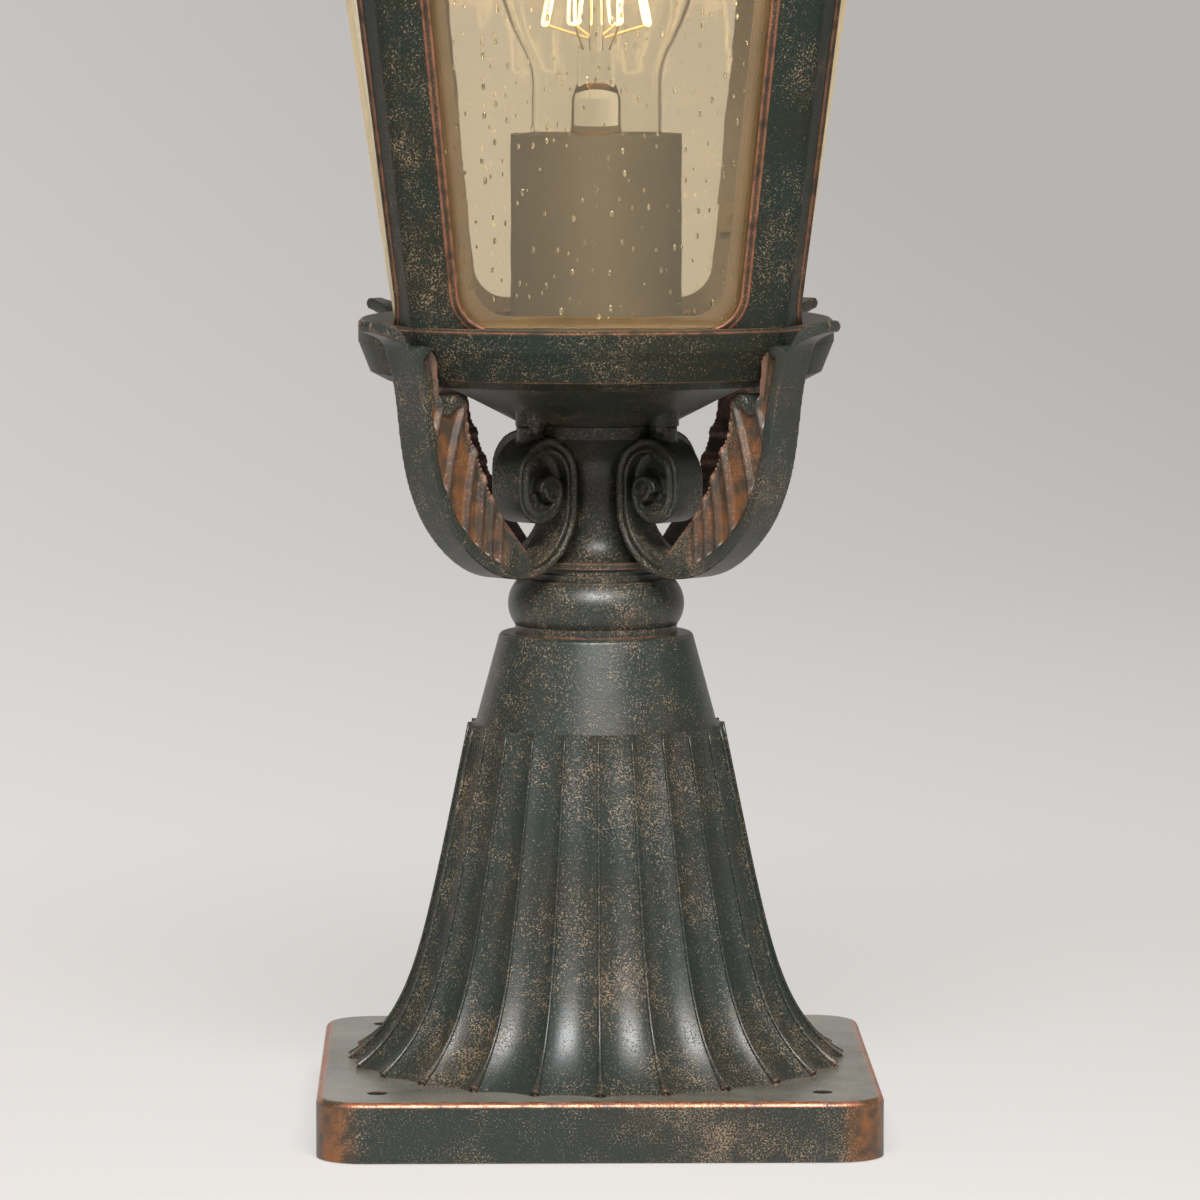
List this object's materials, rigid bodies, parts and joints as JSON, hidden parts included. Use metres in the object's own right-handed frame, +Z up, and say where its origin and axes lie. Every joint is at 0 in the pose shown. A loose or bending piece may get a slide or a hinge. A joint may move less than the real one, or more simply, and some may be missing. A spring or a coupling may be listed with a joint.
{
  "type": "outdoor post light",
  "caption": "Outdoor pedestal lantern: fluted trumpet base, leaf scroll brackets, tapered seeded-glass cage with a screw-in filament bulb and a lift-off bell roof.",
  "frame": {"origin": "middle of the base plate's underside", "axes": "+Z up along the lantern's axis, the front faces -Y, +X to the right seen from the front"},
  "size_m": [0.1732, 0.166, 0.4801],
  "materials": {
    "weathered_bronze": "weathered bronze over cast aluminium, copper-rubbed edges",
    "amber_glass": "amber seeded glass",
    "clear_glass": "clear bulb glass",
    "retainer_paint": "brown painted sheet",
    "sleeve_paint": "satin olive brown",
    "floor_paint": "pale painted sheet",
    "steel": "zinc-plated steel",
    "brass": "plain brass",
    "porcelain": "glazed ceramic",
    "black_insulator": "black glass insulator",
    "terminal_plastic": "moulded",
    "wire_sleeve": "insulated wire",
    "filament": "glowing carbon filament"
  },
  "bodies": {
    "stand": {"bracket_screws": "steel", "cage_frame": "weathered_bronze", "cage_screws": "steel", "clip_screws": "steel", "earth_screw": "steel", "glass_pane_back": "amber_glass", "glass_pane_front": "amber_glass", "glass_pane_left": "amber_glass", "glass_pane_right": "amber_glass", "lamp_plate": "floor_paint", "lampholder_base": "sleeve_paint", "lampholder_body": "porcelain", "lampholder_nut": "steel", "lampholder_shell": "brass", "lampholder_sleeve": "sleeve_paint", "lampholder_tongue": "brass", "lantern_dish": "weathered_bronze", "lead_live": "wire_sleeve", "lead_neutral": "wire_sleeve", "leaf_bracket_back_left": "weathered_bronze", "leaf_bracket_back_right": "weathered_bronze", "leaf_bracket_front_left": "weathered_bronze", "leaf_bracket_front_right": "weathered_bronze", "neck_baluster": "weathered_bronze", "pane_clips": "steel", "pane_retainer_back": "retainer_paint", "pane_retainer_front": "retainer_paint", "pane_retainer_left": "retainer_paint", "pane_retainer_right": "retainer_paint", "pedestal_casting": "weathered_bronze", "terminal_block": "terminal_plastic", "terminal_block_screw": "steel", "terminal_screws": "steel", "threaded_tube": "steel", "tube_nut_lower": "steel", "tube_nut_upper": "steel", "tube_washer_lower": "steel", "tube_washer_upper": "steel"},
    "roof": {"roof_casting": "weathered_bronze", "finial": "weathered_bronze", "finial_stud": "steel", "finial_nut": "steel", "finial_washer": "steel"},
    "thumbscrew_left": {"thumbscrew_left": "weathered_bronze"},
    "thumbscrew_right": {"thumbscrew_right": "weathered_bronze"},
    "bulb_contact": {"bulb_contact": "brass"},
    "bulb": {"bulb_glass": "clear_glass", "bulb_cap": "brass", "bulb_insulator": "black_insulator", "bulb_stem": "clear_glass", "bulb_leads": "steel", "filament_supports": "steel", "bulb_filament": "filament"}
  },
  "joints": [
    {"name": "roof_lift", "type": "slide", "parent": "stand", "child": "roof", "axis": [0, 0, 1], "range_m": [0, 0.1]},
    {"name": "thumbscrew_left_turn", "type": "hinge", "parent": "roof", "child": "thumbscrew_left", "pos_m": [-0.08, 0, 0.3516], "axis": [-1, 0, 0], "continuous": true},
    {"name": "thumbscrew_right_turn", "type": "hinge", "parent": "roof", "child": "thumbscrew_right", "pos_m": [0.08, 0, 0.3516], "axis": [1, 0, 0], "continuous": true},
    {"name": "bulb_lift", "type": "slide", "parent": "stand", "child": "bulb_contact", "axis": [0, 0, 1], "range_m": [0, 0.0109]},
    {"name": "bulb_turn", "type": "hinge", "parent": "bulb_contact", "child": "bulb", "pos_m": [0, 0, 0.25], "axis": [0, 0, 1], "range_deg": [0, 1080]}
  ],
  "couplings": [
    {"joint": "bulb_lift", "follows": "bulb_turn", "m_per_rad": 0.00057757}
  ]
}
